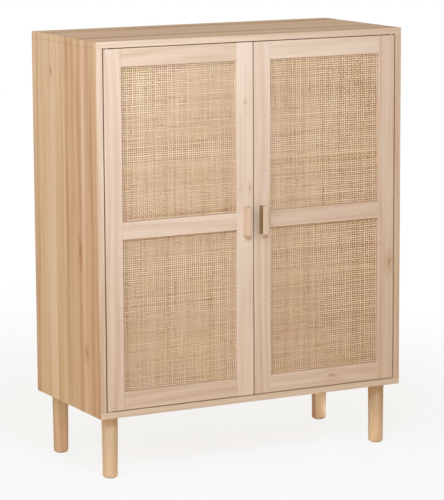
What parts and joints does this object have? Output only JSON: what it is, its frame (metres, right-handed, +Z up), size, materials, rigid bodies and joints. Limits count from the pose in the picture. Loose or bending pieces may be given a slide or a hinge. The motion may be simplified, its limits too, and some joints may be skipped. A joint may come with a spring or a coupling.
{
  "type": "sideboard",
  "caption": "Tall free-standing sideboard in pale oak with framed doors of woven rattan, wooden finger pulls and turned legs; the doors swing open on pivots to shelves.",
  "frame": {"origin": "on the floor, below the middle of the whole outline with the handles", "axes": "+Z up, the front with the doors faces -Y, +X to the right as seen from the front"},
  "size_m": [0.8, 0.38, 1.014],
  "materials": {
    "oak_panel": "pale oiled oak, satin",
    "door_oak": "pale oiled oak, satin",
    "leg_oak": "turned oak, satin",
    "handle_oak": "routed oak, satin",
    "rattan": "open square weave of natural rattan",
    "back_board": "thin fibre board, matt",
    "dowel_beech": "raw beech",
    "zinc": "zinc die casting",
    "steel": "zinc-plated steel",
    "catch_plastic": "matt white",
    "glide_plastic": "matt dark brown"
  },
  "bodies": {
    "carcass": {"back_panel": "back_board", "back_panel_nails": "steel", "bottom_panel": "oak_panel", "cam_bolts": "zinc", "cam_locks": "zinc", "carcass_dowels": "dowel_beech", "carcass_screws": "steel", "catch_housing": "catch_plastic", "catch_magnets": "steel", "front_left_leg": "leg_oak", "front_right_leg": "leg_oak", "left_lower_pivot_plate": "steel", "left_side_panel": "oak_panel", "left_upper_pivot_plate": "steel", "leg_bolts": "steel", "leg_glides": "glide_plastic", "leg_inserts": "zinc", "lower_shelf": "oak_panel", "pivot_washers": "steel", "rear_left_leg": "leg_oak", "rear_right_leg": "leg_oak", "right_lower_pivot_plate": "steel", "right_side_panel": "oak_panel", "right_upper_pivot_plate": "steel", "shelf_supports": "steel", "top_panel": "oak_panel", "upper_shelf": "oak_panel"},
    "left_door": {"left_door_bottom_rail": "door_oak", "left_door_dowels": "dowel_beech", "left_door_handle": "handle_oak", "left_door_handle_screws": "steel", "left_door_hinge_stile": "door_oak", "left_door_lower_beads": "door_oak", "left_door_lower_pivot_leaf": "steel", "left_door_lower_rattan": "rattan", "left_door_meeting_stile": "door_oak", "left_door_middle_rail": "door_oak", "left_door_screws": "steel", "left_door_strike_plate": "steel", "left_door_top_rail": "door_oak", "left_door_upper_beads": "door_oak", "left_door_upper_pivot_leaf": "steel", "left_door_upper_rattan": "rattan"},
    "right_door": {"right_door_bottom_rail": "door_oak", "right_door_dowels": "dowel_beech", "right_door_handle": "handle_oak", "right_door_handle_screws": "steel", "right_door_hinge_stile": "door_oak", "right_door_lower_beads": "door_oak", "right_door_lower_pivot_leaf": "steel", "right_door_lower_rattan": "rattan", "right_door_meeting_stile": "door_oak", "right_door_middle_rail": "door_oak", "right_door_screws": "steel", "right_door_strike_plate": "steel", "right_door_top_rail": "door_oak", "right_door_upper_beads": "door_oak", "right_door_upper_pivot_leaf": "steel", "right_door_upper_rattan": "rattan"}
  },
  "joints": [
    {"name": "left_door_swing", "type": "hinge", "parent": "carcass", "child": "left_door", "pos_m": [-0.373, -0.164, 0.581], "axis": [0, 0, -1], "range_deg": [0, 105]},
    {"name": "right_door_swing", "type": "hinge", "parent": "carcass", "child": "right_door", "pos_m": [0.373, -0.164, 0.581], "axis": [0, 0, 1], "range_deg": [0, 105]}
  ]
}
